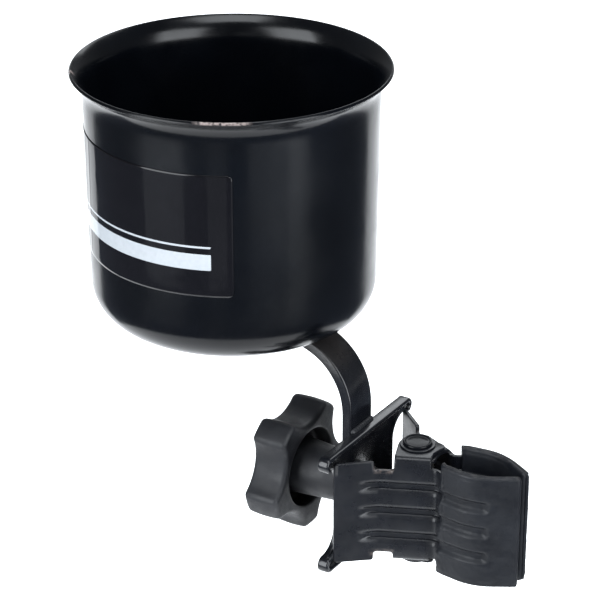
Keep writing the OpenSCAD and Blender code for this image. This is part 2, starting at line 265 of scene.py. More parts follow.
def upright(x, y=0.0, z=0.0):
    """Frame for things turned round an upright axis through x, y, with h measured from z."""
    return lambda a, b, h: Vector((x + a, y + b, z + h))


def lying(a, b, h):
    """Frame for things turned round the clamp screw's axis, with h along +X."""
    return Vector((h, a, b))


def fill(bm, *loops):
    """A flat face inside the first loop and outside the others."""
    edges = []
    for loop in loops:
        for a, b in zip(loop, loop[1:] + loop[:1]):
            edges.append(bm.edges.get((a, b)) or bm.edges.new((a, b)))
    bmesh.ops.triangle_fill(bm, use_beauty=True, use_dissolve=False, edges=edges)


def inset(points, d):
    """A closed anticlockwise 2-D outline moved in by d."""
    n = len(points)
    out = []
    for i in range(n):
        before = (points[i] - points[i - 1]).normalized()
        after = (points[(i + 1) % n] - points[i]).normalized()
        along = (before + after).normalized()
        out.append(points[i] + Vector((-along.y, along.x)) * d / max(0.3, along.dot(before)))
    return out


def without_repeats(points, gap):
    """Drops each point that is closer than gap to the one kept before it."""
    kept = [points[0]]
    for p in points[1:]:
        if (p - kept[-1]).length > gap:
            kept.append(p)
    return kept


def corner_shift(dx, dz, corner):
    """How far a point dx and dz from two edges moves inwards to round their corner off."""
    far = math.hypot(corner - dx, corner - dz)
    if dx >= corner or dz >= corner or far <= corner:
        return 0.0, 0.0
    pull = 1 - corner / far
    return (corner - dx) * pull, (corner - dz) * pull


def drill(piece, r, start, end):
    """Bores a hole round the clamp screw's axis, from x = start to x = end."""
    bm = bmesh.new()
    revolve(bm, [(0, start), (r, start), (r, end), (0, end)], lying, 48, closed=False)
    cutter = add_mesh("drill", bm)
    cut = piece.modifiers.new("cut", "BOOLEAN")
    cut.operation, cut.object, cut.solver = "DIFFERENCE", cutter, "EXACT"
    bpy.context.view_layer.update()
    depsgraph = bpy.context.evaluated_depsgraph_get()
    piece_mesh = bpy.data.meshes.new_from_object(piece.evaluated_get(depsgraph))
    piece.modifiers.clear()
    piece.data = piece_mesh
    bpy.data.objects.remove(cutter)
    piece_mesh.shade_smooth()
    sharpen(piece)


# ---- materials ---------------------------------------------------------------


class Paint:
    """A procedural material under construction, in object coordinates in metres."""

    def __init__(self, name, color, roughness, metallic=0.0, ior=1.45):
        self.mat = bpy.data.materials.new(name)
        self.mat.use_nodes = True
        self.nodes = self.mat.node_tree.nodes
        self.links = self.mat.node_tree.links
        self.shader = self.nodes["Principled BSDF"]
        self.set("Base Color", (*color, 1))
        self.set("Roughness", roughness)
        self.set("Metallic", metallic)
        self.set("IOR", ior)
        self.mat.diffuse_color = (*color, 1)
        self.coords = self.nodes.new("ShaderNodeTexCoord").outputs["Object"]
        self.height = None

    def set(self, socket, value):
        self.shader.inputs[socket].default_value = value

    def plug(self, socket, value):
        if isinstance(value, bpy.types.NodeSocket):
            self.links.new(value, socket)
        else:
            socket.default_value = value

    def node(self, kind, **inputs):
        made = self.nodes.new(kind)
        for key, value in inputs.items():
            self.plug(made.inputs[key.replace("_", " ")], value)
        return made

    def math(self, operation, a, b):
        made = self.nodes.new("ShaderNodeMath")
        made.operation = operation
        self.plug(made.inputs[0], a)
        self.plug(made.inputs[1], b)
        return made.outputs[0]

    def stretched(self, x, y, z):
        return self.node("ShaderNodeMapping", Vector=self.coords, Scale=(x, y, z)).outputs[0]

    def noise(self, size, detail=3.0, roughness=0.5, coords=None, distortion=0.0):
        """Noise from 0 to 1 with features about size millimetres across."""
        made = self.node("ShaderNodeTexNoise", Vector=coords or self.coords,
                         Scale=1 / (size * MM), Detail=detail, Roughness=roughness,
                         Distortion=distortion)
        return made.outputs["Fac"]

    def cells(self, size):
        made = self.node("ShaderNodeTexVoronoi", Vector=self.coords, Scale=1 / (size * MM))
        return made.outputs["Distance"]

    def between(self, value, low, high, to_low=0.0, to_high=1.0):
        """value remapped smoothly from low..high to to_low..to_high."""
        made = self.node("ShaderNodeMapRange", Value=value, From_Min=low, From_Max=high,
                         To_Min=to_low, To_Max=to_high)
        made.interpolation_type = "SMOOTHSTEP"
        return made.outputs[0]

    def blend(self, amount, a, b):
        made = self.nodes.new("ShaderNodeMix")
        made.data_type = "RGBA"
        self.plug(made.inputs["Factor"], amount)
        for key, value in (("A", a), ("B", b)):
            socket = next(s for s in made.inputs if s.name == key and s.type == "RGBA")
            self.plug(socket, value if isinstance(value, bpy.types.NodeSocket) else (*value, 1))
        return next(s for s in made.outputs if s.type == "RGBA")

    def near(self, point, inner, outer):
        """1 within inner millimetres of a point, falling to 0 at outer."""
        made = self.nodes.new("ShaderNodeVectorMath")
        made.operation = "DISTANCE"
        self.plug(made.inputs[0], self.coords)
        made.inputs[1].default_value = [c * MM for c in point]
        return self.between(made.outputs["Value"], inner * MM, outer * MM, 1.0, 0.0)

    def mask(self):
        """What wear() stored on the mesh's vertices, 0 to 1."""
        made = self.nodes.new("ShaderNodeAttribute")
        made.attribute_name = "wear"
        return made.outputs["Fac"]

    def worn(self, size, roughness, low, high):
        """The mask broken up by noise, as a flaking or rubbed edge is."""
        grain = self.noise(size, 4, roughness)
        return self.math("MULTIPLY", self.mask(), self.between(grain, low, high))

    def source(self, socket):
        """The output that feeds one of the shader's inputs so far."""
        return self.shader.inputs[socket].links[0].from_socket

    def feed(self, socket, value):
        self.links.new(value, self.shader.inputs[socket])

    def mottle(self, noise, dark, pale, low=0.3, high=0.7):
        """Colour that wanders between two tones."""
        self.feed("Base Color", self.blend(self.between(noise, low, high), dark, pale))

    def tint(self, amount, color):
        """A colour laid over the one so far."""
        self.feed("Base Color", self.blend(amount, self.source("Base Color"), color))

    def sheen(self, noise, smooth, rough, low=0.3, high=0.7):
        """Roughness that wanders between two values."""
        self.feed("Roughness", self.between(noise, low, high, smooth, rough))

    def bump(self, height, distance, strength=1.0):
        """Adds a bump of that height in millimetres over the ones before."""
        made = self.node("ShaderNodeBump", Height=height, Distance=distance * MM,
                         Strength=strength)
        if self.height:
            self.links.new(self.height, made.inputs["Normal"])
        self.height = made.outputs[0]
        self.feed("Normal", self.height)


def wear(piece, amount):
    """Stores amount(co in mm, normal) on each vertex for the material's wear mask."""
    layer = piece.data.attributes.new("wear", "FLOAT", "POINT")
    for vertex, item in zip(piece.data.vertices, layer.data):
        item.value = amount(vertex.co / MM, vertex.normal)


def enamel_material():
    """Gloss black stove enamel, thin at the lip, where it has chipped to primer."""
    m = Paint("cup_enamel", (0.0009, 0.0012, 0.0019), 0.18, ior=1.28)
    m.mottle(m.noise(38, 2), (0.0006, 0.0008, 0.0013), (0.0011, 0.0015, 0.0024), 0.35)
    m.sheen(m.noise(16, 4, 0.6, distortion=0.4), 0.15, 0.26, high=0.75)
    m.bump(m.noise(2.6, 2, 0.4), 0.010)
    m.bump(m.noise(14, 1), 0.05, 0.6)
    flake = m.worn(0.9, 0.7, 0.36, 0.52)
    m.tint(flake, m.blend(m.noise(0.5, 3), (0.075, 0.055, 0.050), (0.26, 0.22, 0.21)))
    m.bump(flake, -0.10)
    return m.mat


def film_material():
    """Printed film: clear gloss over near black, with a plain pale bar and a thin line."""
    m = Paint("label_film", (0.012, 0.010, 0.014), 0.05, ior=1.27)
    silver = m.blend(m.noise(1.4, 3), (0.19, 0.205, 0.22), (0.235, 0.25, 0.265))
    black = m.blend(m.noise(5, 3), (0.0016, 0.0016, 0.0022), (0.0030, 0.0029, 0.0038))
    m.mottle(m.mask(), black, silver, 0.45, 0.55)
    m.sheen(m.noise(7, 4, 0.7), 0.04, 0.13, 0.35)
    m.bump(m.noise(1.0, 4, 0.65, coords=m.stretched(1, 1, 0.12)), 0.010, 0.6)
    m.bump(m.noise(9, 2), 0.05, 0.7)
    return m.mat


def painted_steel(name, tone, roughness, peel, peel_height, ior=1.36):
    """Black paint on steel with orange peel, and bare warm-grey edges where it is worn."""
    low = [c * tone for c in (0.0020, 0.0023, 0.0033)]
    high = [c * tone for c in (0.0036, 0.0040, 0.0053)]
    bare = (0.035, 0.028, 0.025)
    m = Paint(name, high, roughness[0], ior=ior)
    m.mottle(m.noise(9, 3), low, high, 0.35, 0.68)
    m.sheen(m.noise(5, 4, 0.62), *roughness, high=0.72)
    m.bump(m.noise(peel, 2, 0.45), peel_height)
    m.bump(m.noise(0.35, 2, 0.5), 0.006, 0.5)
    steel = m.blend(m.noise(0.6, 3), bare, [2.2 * c for c in bare])
    m.tint(m.worn(1.1, 0.7, 0.38, 0.62), steel)
    return m


def strap_material():
    """Gloss paint that has gone rough and dull over the weld's burn, next to the cup."""
    m = painted_steel("strap_paint", 1.0, (0.16, 0.28), 2.2, 0.03)
    burn = m.math("MULTIPLY", m.near(BURN_AT, 4, 11), m.noise(1.0, 4, 0.7))
    m.tint(burn, (0.0125, 0.0105, 0.0095))
    m.feed("Roughness", m.math("ADD", m.source("Roughness"), m.math("MULTIPLY", burn, 0.3)))
    m.bump(m.math("MULTIPLY", burn, m.noise(0.6, 3, 0.6)), 0.10)
    return m.mat


def weld_material():
    """Painted weld bead: lumpy, spattered, with a dry brownish-grey dust in its hollows."""
    m = painted_steel("weld_paint", 1.5, (0.36, 0.56), 0.8, 0.09)
    dust = m.between(m.noise(0.7, 4, 0.7), 0.45, 0.7)
    m.tint(m.math("MULTIPLY", dust, 0.45), (0.010, 0.009, 0.0085))
    return m.mat


def knob_material():
    """Moulded black nylon with a fine spark-eroded texture and slightly paler rubbed edges."""
    m = Paint("knob_plastic", (0.007, 0.007, 0.008), 0.55, ior=1.33)
    m.mottle(m.noise(7, 3), (0.0036, 0.0039, 0.0052), (0.0058, 0.0063, 0.0082))
    m.tint(m.worn(2.2, 0.65, 0.35, 0.7), (0.026, 0.026, 0.028))
    m.sheen(m.noise(3.5, 3), 0.46, 0.62)
    m.bump(m.noise(0.30, 3, 0.6), 0.050)
    m.bump(m.cells(0.55), 0.022, 0.6)
    return m.mat


def cap_material():
    """Slightly smoother moulded plastic, for the plug at the back of the knob."""
    m = Paint("cap_plastic", (0.030, 0.030, 0.032), 0.36)
    m.mottle(m.noise(3, 3), (0.010, 0.010, 0.012), (0.018, 0.018, 0.020))
    m.sheen(m.noise(2, 3), 0.30, 0.45)
    m.bump(m.noise(0.3, 3, 0.6), 0.012)
    return m.mat


def zinc_material():
    """Bright zinc plating with turning marks and a faint cloudy passivation."""
    m = Paint("zinc_steel", (0.55, 0.55, 0.56), 0.3, metallic=1.0)
    m.mottle(m.noise(4, 4), (0.40, 0.41, 0.44), (0.62, 0.61, 0.57), 0.35)
    m.sheen(m.noise(1.2, 4, 0.6), 0.22, 0.42)
    m.bump(m.noise(0.12, 2, coords=m.stretched(8, 1, 1)), 0.004)
    return m.mat


def barrel_material():
    """Turned steel, oiled and slightly darkened."""
    m = Paint("barrel_steel", (0.30, 0.29, 0.28), 0.34, metallic=1.0)
    m.mottle(m.noise(3, 4), (0.20, 0.19, 0.18), (0.36, 0.35, 0.34))
    m.sheen(m.noise(1.5, 4), 0.26, 0.46)
    m.bump(m.noise(0.15, 2, coords=m.stretched(1, 1, 9)), 0.006)
    return m.mat


def vinyl_material():
    """Soft black vinyl with a fine leathery skin, stretch marks and paler rubbed edges."""
    m = Paint("sleeve_vinyl", (0.003, 0.0035, 0.005), 0.5, ior=1.27)
    m.mottle(m.noise(8, 3), (0.0020, 0.0025, 0.0040), (0.0036, 0.0044, 0.0064))
    m.tint(m.worn(1.6, 0.7, 0.38, 0.64), (0.024, 0.023, 0.023))
    m.sheen(m.noise(4.5, 4, 0.6), 0.42, 0.60, high=0.72)
    m.bump(m.noise(0.45, 3, 0.6), 0.018)
    m.bump(m.noise(3.4, 3, 0.5, coords=m.stretched(1, 1, 0.45)), 0.10, 0.8)
    return m.mat


MATERIALS = {
    "cup_enamel": enamel_material(),
    "label_film": film_material(),
    "strap_paint": strap_material(),
    "weld_paint": weld_material(),
    "yoke_paint": painted_steel("yoke_paint", 1.0, (0.14, 0.28), 1.8, 0.022).mat,
    "knob_plastic": knob_material(),
    "cap_plastic": cap_material(),
    "zinc_steel": zinc_material(),
    "barrel_steel": barrel_material(),
    "rivet_paint": painted_steel("rivet_paint", 0.8, (0.12, 0.24), 1.2, 0.008, ior=1.17).mat,
    "jaw_paint": painted_steel("jaw_paint", 1.3, (0.25, 0.38), 0.9, 0.008, ior=1.31).mat,
    "sleeve_vinyl": vinyl_material(),
}
NODE_SLOT = {row["node"]: row["material_slot"] for row in frame["record"]["subparts"]}
NODE_BODY = {node: body for body, nodes in frame["record"]["behaviour"]["bodies"].items()
             for node in nodes}


def finish_piece(piece, node, worn=None):
    """Puts a piece in the place of a CAD node, with that node's body and finish."""
    wear(piece, worn or (lambda co, normal: 0.0))
    slot = NODE_SLOT[node]
    piece.data.materials.clear()
    piece.data.materials.append(MATERIALS[slot])
    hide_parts(node)
    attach(piece, NODE_BODY[node])
    return piece


# ---- cup, label, strap and welds ----------------------------------------------


def cup_wall_line():
    """Middle of the cup's sheet, from the centre of the floor to the lip."""
    flare, half = math.radians(FLARE_ANGLE), CUP_T / 2
    flare_r = CUP_FLARE / (1 - math.cos(flare))
    lip_z = CUP_H - half * math.sin(flare)
    points = [(0, half), (CUP_BASE_R - half, half),
              (CUP_R - half, lip_z - flare_r * math.tan(flare / 2) * math.cos(flare)),
              (CUP_R - half + CUP_FLARE, lip_z)]
    return Line(rounded(points, [0, CUP_CORNER - half, 0.97 * flare_r, 0], 20))


def cup_profile():
    """Section of the cup from the axis, out along the underside and back inside."""
    line, half = cup_wall_line(), CUP_T / 2
    end = line.length - half
    stations = spread(0, end, 1.2)

    def skin(s, out, on=0.0):
        """A place half the sheet's thickness off its middle, out and on along the line."""
        p, t = line.at(s)
        return p + (Vector((t.y, -t.x)) * out + t * on) * half

    def square(v):
        return math.copysign(abs(v) ** LIP_SQUARENESS, v)

    # The lip's cut edge is flat, with its two corners only broken
    turns = [math.pi * k / 16 for k in range(1, 16)]
    lip = [skin(end, square(math.cos(a)), square(math.sin(a))) for a in turns]
    path = [skin(s, 1) for s in stations] + lip + [skin(s, -1) for s in stations[::-1]]
    return [(max(0.0, p.x), p.y) for p in path]


def cup():
    bm = bmesh.new()
    revolve(bm, cup_profile(), upright(CUP_X, 0, CUP_Z), 256, closed=False)
    # The drawn sheet is a little out of round, and its lip wavers
    for v in bm.verts:
        h = (v.co.z - CUP_Z) / CUP_H
        out = Vector((v.co.x - CUP_X, v.co.y, 0))
        if out.length > 1:
            waver = 0.03 * abs(wobble(v.co, 9, 4)) * smooth_step(h, 0.9, 1)
            v.co += out / out.length * (0.05 * wobble(out, 30) * h - waver)
    piece = add_mesh("cup_shell", bm)

    def worn(co, normal):
        lip = smooth_step(co.z, CUP_HIGH.z - 0.95, CUP_HIGH.z - 0.45)
        r = math.hypot(co.x - CUP_X, co.y)
        lip *= smooth_step(r, CUP_R + 1.6, CUP_R + 2.4)
        angle = math.degrees(math.atan2(co.y, co.x - CUP_X))
        here = max(smooth_step(-abs(angle - a), -half, -half * 0.7) for a, half in LIP_CHIPS)
        return lip * here

    return finish_piece(piece, "cup", worn)


def cup_radius(h):
    """Outside radius of the cup's wall at height h over its underside."""
    return CUP_BASE_R + (CUP_R - CUP_BASE_R) / (CUP_H - 5) * h


def cup_label():
    low, high = mm_box("cup_label")
    bottom, tall = low.z - CUP_Z, high.z - low.z
    start = math.radians(LABEL_FROM)
    wide = math.radians(LABEL_TO - LABEL_FROM) * CUP_R
    columns, rows = spread(0, wide, 0.5), spread(0, tall, 0.6)
    bm = bmesh.new()

    def skin(lift, waves):
        """One side of the film as columns of vertices, lift off the wall."""
        grid = []
        for x in columns:
            line = []
            for z in rows:
                # Rounded corners, then a faint ripple and three lifted creases near the far end
                dx, dz = min(x, wide - x), min(z, tall - z)
                in_x, in_z = corner_shift(dx, dz, LABEL_CORNER)
                u = x + math.copysign(in_x, wide / 2 - x)
                w = z + math.copysign(in_z, tall / 2 - z)
                crease = sum(max(0, 1 - abs(u - c - 0.06 * w) / 0.8) for c in LABEL_CREASES)
                edge = smooth_step(min(dx, dz), 0.2, 1.5)
                ripple = 0.10 * crease + 0.018 * wobble((u, w, 0), 7.0) + 0.03
                r = cup_radius(bottom + w) + lift + waves * ripple * edge
                angle = start + u / CUP_R
                line.append(bm.verts.new((CUP_X + r * math.cos(angle), r * math.sin(angle),
                                          CUP_Z + bottom + w)))
            grid.append(line)
        return grid

    def rim(grid):
        return ([c[0] for c in grid] + grid[-1][1:] + [c[-1] for c in grid[::-1]][1:]
                + grid[0][1:-1][::-1])

    layers = [skin(0.025, 0), skin(LABEL_T, 1)]
    for grid in layers:
        join_chain(bm, grid, closed=False)
    join_chain(bm, [rim(grid) for grid in layers])
    piece = add_mesh("cup_label_film", bm)

    def printed(co, normal):
        x = (math.atan2(co.y, co.x - CUP_X) - start) * CUP_R
        z = co.z - CUP_Z - bottom
        return float(min(x, wide - x) > PRINT_MARGIN
                     and any(lowest < z < highest for lowest, highest in PRINT_BANDS))

    return finish_piece(piece, "cup_label", printed)


def strap():
    under = mm_box("strap")[0].x
    middle = CUP_Z - STRAP_T / 2
    front = STRAP_FRONT - STRAP_T / 2
    line = Line(rounded([(under, middle), (front, middle), (front, STRAP_LOW.z)],
                        [0, STRAP_BEND_R - STRAP_T / 2, 0], 40))
    edge, half_w, half_t = STRAP_EDGE, STRAP_W / 2, STRAP_T / 2
    section = []
    for sy, st, start in ((1, 1, 0), (-1, 1, 90), (-1, -1, 180), (1, -1, 270)):
        section += arc_points((sy * (half_w - edge), st * (half_t - edge)), edge,
                              start, start + 90, 5)
    near_end = [0.0, 0.12, 0.45]
    stations = near_end + spread(1.0, line.length - 1.0, 0.8)
    stations += [line.length - d for d in near_end[::-1]]
    bm = bmesh.new()
    loops = []
    for s in stations:
        end = min(s, line.length - s, edge)
        shrink = edge - math.sqrt(edge ** 2 - (edge - end) ** 2)
        p, t = line.at(s)
        normal = Vector((-t.y, t.x))
        # Bending spreads the inner edge and pulls in the outer one
        bend = smooth_step(p.x, front - STRAP_BEND_R, front - 6) * smooth_step(p.y, 22, 28)
        loop = []
        for q in section:
            across = q.x * (1 - shrink / half_w) * (1 - 0.035 * bend * q.y / half_t)
            here = p + normal * q.y * (1 - shrink / half_t)
            co = Vector((here.x, across, here.y))
            co += Vector((0, 0.03, 0.03)) * wobble(co, 6)
            loop.append(bm.verts.new(co))
        loops.append(loop)
    join_chain(bm, loops, capped=True)
    piece = add_mesh("strap_bar", bm)
    drill(piece, SCREW_HOLE_R, STRAP_BACK - 1, STRAP_FRONT + 1)
    return finish_piece(piece, "strap")


def bead(bm, start, end, r, ripple, seed):
    """A straight weld bead with its overlapping puddles; its ends close to a point."""
    start, end = Vector(start), Vector(end)
    length, t = (end - start).length, (end - start).normalized()
    side = t.orthogonal().normalized()
    up = t.cross(side)
    steps, sides = max(2, int(length / 0.22)), 12
    loops = []
    for i in range(steps + 1):
        s, p = length * i / steps, start.lerp(end, i / steps)
        close = math.sqrt(1 - (1 - min(1, s / 1.2, (length - s) / 1.2)) ** 2)
        puddle = 1 + 0.10 * abs(math.sin(math.pi * s / ripple))
        loop = []
        for k in range(sides):
            a = 2 * math.pi * k / sides
            out = side * math.cos(a) + up * math.sin(a)
            lump = 1 + 0.16 * wobble(p + out * r, 0.9, seed)
            loop.append(bm.verts.new(p + out * r * max(0.03, close) * puddle * lump))
        loops.append(loop)
    join_chain(bm, loops, capped=True)


def cup_weld():
    low, high = mm_box("cup_weld")
    half, front = STRAP_W / 2, high.x + 1.2
    bm = bmesh.new()
    for side in (-1, 1):
        bead(bm, (low.x + 0.5, side * (half + 0.3), CUP_Z - 0.45),
             (high.x + 0.8, side * (half + 0.2), CUP_Z - 0.55), 1.25, 1.1, side * 3.0)
    # Across the front, where the strap leaves the cup's rounded corner
    bead(bm, (front, -half - 0.2, CUP_Z - 0.5), (front, half + 0.2, CUP_Z - 0.5),
         1.15, 1.0, 7.0)
    return finish_piece(add_mesh("cup_weld_beads", bm), "cup_weld", lambda co, normal: 0.4)


# ---- yoke -----------------------------------------------------------------------


def yoke_outline():
    """Anticlockwise outline of the dished plate in Y and Z."""
    w, h, r = YOKE_W / 2, YOKE_H / 2, YOKE_TIP_R
    waist, cut, f = YOKE_WAIST / 2, YOKE_H / 2 - YOKE_TIP_H, YOKE_FILLET
    quarter = ([Vector((waist, 0))] + arc_points((waist + f, cut - f), f, 180, 90, 14)
               + arc_points((w - r, cut + r), r, -90, 0, 10)
               + arc_points((w - r, h - r), r, 0, 90, 10))
    out = quarter + [Vector((-p.x, p.y)) for p in quarter[::-1]]
    out += [Vector((-p.x, -p.y)) for p in quarter[1:]]
    out += [Vector((p.x, -p.y)) for p in quarter[:0:-1]]
    kept = without_repeats(out, 1e-4)
    # Fine enough along the straight runs for the rim to rise and fall smoothly
    fine = []
    for a, b in zip(kept, kept[1:] + kept[:1]):
        n = max(1, int((b - a).length / 0.9))
        fine += [a.lerp(b, k / n) for k in range(n)]
    return fine


def yoke():
    outline = yoke_outline()
    back, web, soft, chamfer = YOKE_LOW.x, YOKE_LOW.x + YOKE_WEB, 0.5, 0.3

    def rim(p):
        """How much of the rim's height stands at a point of the outline."""
        along_edge = smooth_step(abs(p.y), RIM_FROM_Z, RIM_FROM_Z + 1.4)
        round_tip = smooth_step(abs(p.x), RIM_FROM_Y, RIM_FROM_Y + 1.2)
        return YOKE_RIM * max(along_edge, round_tip)

    bm = bmesh.new()
    # The section from the back, over the rim and down to the web: how far in from the outline,
    # the x of a place without rim, and how much of the rim's height is added there
    section = ((soft, back, 0), (0.15 * soft, back + 0.15 * soft, 0), (0, back + soft, 0),
               (0, web - 1.2 * soft, 1), (0.08, web - 0.6 * soft, 1),
               (0.3 * soft + 0.05, web - 0.12, 1), (soft + 0.1, web, 1), (1.0, web - 0.03, 1),
               (1.25, web, 0.86), (1.42, web, 0.6), (1.55, web, 0.28), (1.72, web, 0.06),
               (1.95, web, 0))
    loops = [[bm.verts.new((x + share * rim(p), q.x, q.y))
              for p, q in zip(outline, inset(outline, d))] for d, x, share in section]
    hole = [ring(bm, x, circle(r, 48))
            for r, x in ((SCREW_HOLE_R + chamfer, back), (SCREW_HOLE_R, back + chamfer),
                         (SCREW_HOLE_R, web - chamfer), (SCREW_HOLE_R + chamfer, web))]
    join_chain(bm, loops)
    join_chain(bm, hole)
    fill(bm, loops[0], hole[0])
    fill(bm, loops[-1], hole[-1])
    piece = add_mesh("yoke_plate", bm)
    sharpen(piece, 50)
    return finish_piece(piece, "yoke")


def yoke_weld():
    low = mm_box("yoke_weld")[0]
    half, top = STRAP_W / 2, YOKE_H / 2 + 0.1
    bm = bmesh.new()
    bead(bm, (STRAP_FRONT + 0.25, -half + 0.1, top), (STRAP_FRONT + 0.25, half - 0.1, top),
         0.85, 1.0, 2.0)
    for side in (-1, 1):
        x, y = STRAP_FRONT - 0.45, side * (half + 0.45)
        bead(bm, (x, y, low.z + 0.6), (x, y, -5.6), 1.15, 1.0, 5.0 + side)
    return finish_piece(add_mesh("yoke_weld_beads", bm), "yoke_weld")


# ---- knob and screw ---------------------------------------------------------------


def star_outline():
    """Anticlockwise outline of the knob with the first lobe along +X."""
    pitch = math.pi / LOBES
    q, reach, d = LOBE_CORNER_R, SCALLOP_R + LOBE_CORNER_R, SCALLOP_AT
    inner = KNOB_R - q
    half = pitch - math.acos((inner ** 2 + d ** 2 - reach ** 2) / (2 * inner * d))
    polar = lambda r, a: Vector((r * math.cos(a), r * math.sin(a)))
    heading = lambda a, b: math.degrees(math.atan2(b.y - a.y, b.x - a.x))

    def turn(centre, r, start, end, steps):
        sweep = (end - start + 540) % 360 - 180
        return arc_points(centre, r, start, start + sweep, steps)[:-1]

    out = []
    for k in range(LOBES):
        at = 2 * pitch * k
        before, after = polar(d, at - pitch), polar(d, at + pitch)
        c1, c2 = polar(inner, at - half), polar(inner, at + half)
        following = polar(inner, at + 2 * pitch - half)
        out += turn(c1, q, heading(c1, before), math.degrees(at - half), 10)
        out += turn((0, 0), KNOB_R, math.degrees(at - half), math.degrees(at + half), 12)
        out += turn(c2, q, math.degrees(at + half), heading(c2, after), 10)
        out += turn(after, SCALLOP_R, heading(after, c2), heading(after, following), 22)
    return out


def knob():
    turned = Matrix.Rotation(math.radians(90 - KNOB_TURN), 2)
    outline = [turned @ p for p in star_outline()]
    soft_back, soft_front, draft = 1.7, 1.5, 0.25
    parting = KNOB_BACK + KNOB_T * 0.52
    bm = bmesh.new()

    def loop(x, d):
        return ring(bm, x, inset(outline, d))

    # The star's side, between a rounded edge at the back and one at the front
    quarter = [math.pi / 2 * k / 8 for k in range(9)]
    loops = [loop(KNOB_BACK + soft_back * (1 - math.cos(a)),
                  draft + soft_back * (1 - math.sin(a))) for a in quarter]
    loops += [loop(x, draft * abs(x - parting) / (KNOB_T * 0.5))
              for x in spread(KNOB_BACK + soft_back, KNOB_FACE - soft_front, 1.2)[1:-1]]
    loops += [loop(KNOB_FACE - soft_front + soft_front * math.sin(a),
                   draft + soft_front * (1 - math.cos(a))) for a in quarter]
    # Front: face, recess and the tapered boss that runs on to the strap
    floor, lip = KNOB_FACE - RECESS_DEPTH, 0.7
    length, taper = BOSS_TIP - floor, BOSS_TIP_R - BOSS_ROOT_R
    front = [(RECESS_R + lip, KNOB_FACE), (RECESS_R + 0.3 * lip, KNOB_FACE - 0.08),
             (RECESS_R + 0.06, KNOB_FACE - 0.3 * lip), (RECESS_R, KNOB_FACE - lip),
             (RECESS_R - 0.15, floor + 1.0), (RECESS_R - 0.45, floor + 0.3),
             (RECESS_R - 1.1, floor), (BOSS_ROOT_R + 0.9, floor),
             (BOSS_ROOT_R + 0.25, floor + 0.25), (BOSS_ROOT_R, floor + 0.9)]
    front += [(BOSS_ROOT_R + taper * f, floor + length * f) for f in (0.2, 0.4, 0.6, 0.8)]
    front += [(BOSS_TIP_R, BOSS_TIP - 0.55), (BOSS_TIP_R - 0.12, BOSS_TIP - 0.16),
              (BOSS_TIP_R - 0.5, BOSS_TIP), (SCREW_R + 0.55, BOSS_TIP),
              (SCREW_R + 0.1, BOSS_TIP - 0.5), (SCREW_R + 0.1, KNOB_BACK + 6.2)]
    # Back: a shallow dish with the plug's seat and the screw head's pocket in the middle
    back = [(11.4, 0), (10.8, 0.12), (9.0, 0.5), (7.2, 0.5), (6.6, 0.55), (6.05, 0.9),
            (6.05, 2.2), (SCREW_R + 2.9, 2.2), (SCREW_R + 2.9, 6.2)]
    rings = [ring(bm, x, circle(r, 72)) for r, x in front]
    seats = [ring(bm, KNOB_BACK + depth, circle(r, 72)) for r, depth in back]
    for chain in (loops, rings, seats):
        join_chain(bm, chain)
    fill(bm, loops[-1], rings[0])
    fill(bm, loops[0], seats[0])
    join_loops(bm, rings[-1], seats[-1])
    piece = add_mesh("star_knob", bm)
    sharpen(piece, 60)

    def worn(co, normal):
        ends = max(smooth_step(co.x, KNOB_FACE - 1.6, KNOB_FACE - 0.4),
                   1 - smooth_step(co.x, KNOB_BACK + 0.6, KNOB_BACK + 2.2))
        rounded_edge = 1 - abs(2 * abs(normal.x) - 1)
        return 0.8 * smooth_step(math.hypot(co.y, co.z), 14.5, 17.5) * ends * rounded_edge

    return finish_piece(piece, "knob", worn)


def knob_cap():
    low, high = mm_box("knob_cap")
    rim_r, rise = (high.y - low.y) / 2, KNOB_BACK - low.x
    # The dome is an arc of this half angle, stretched to the rim's radius
    spans = 1.45
    profile = []
    for k in range(13):
        a = spans * k / 12
        drop = (math.cos(a) - math.cos(spans)) / (1 - math.cos(spans))
        profile.append((0.985 * rim_r * math.sin(a) / math.sin(spans), KNOB_BACK - rise * drop))
    profile += [(rim_r, KNOB_BACK + 0.25), (rim_r, KNOB_BACK + 1.3), (rim_r - 0.3, high.x),
                (0, high.x)]
    bm = bmesh.new()
    revolve(bm, profile, lying, closed=False)
    return finish_piece(add_mesh("knob_plug", bm), "knob_cap")


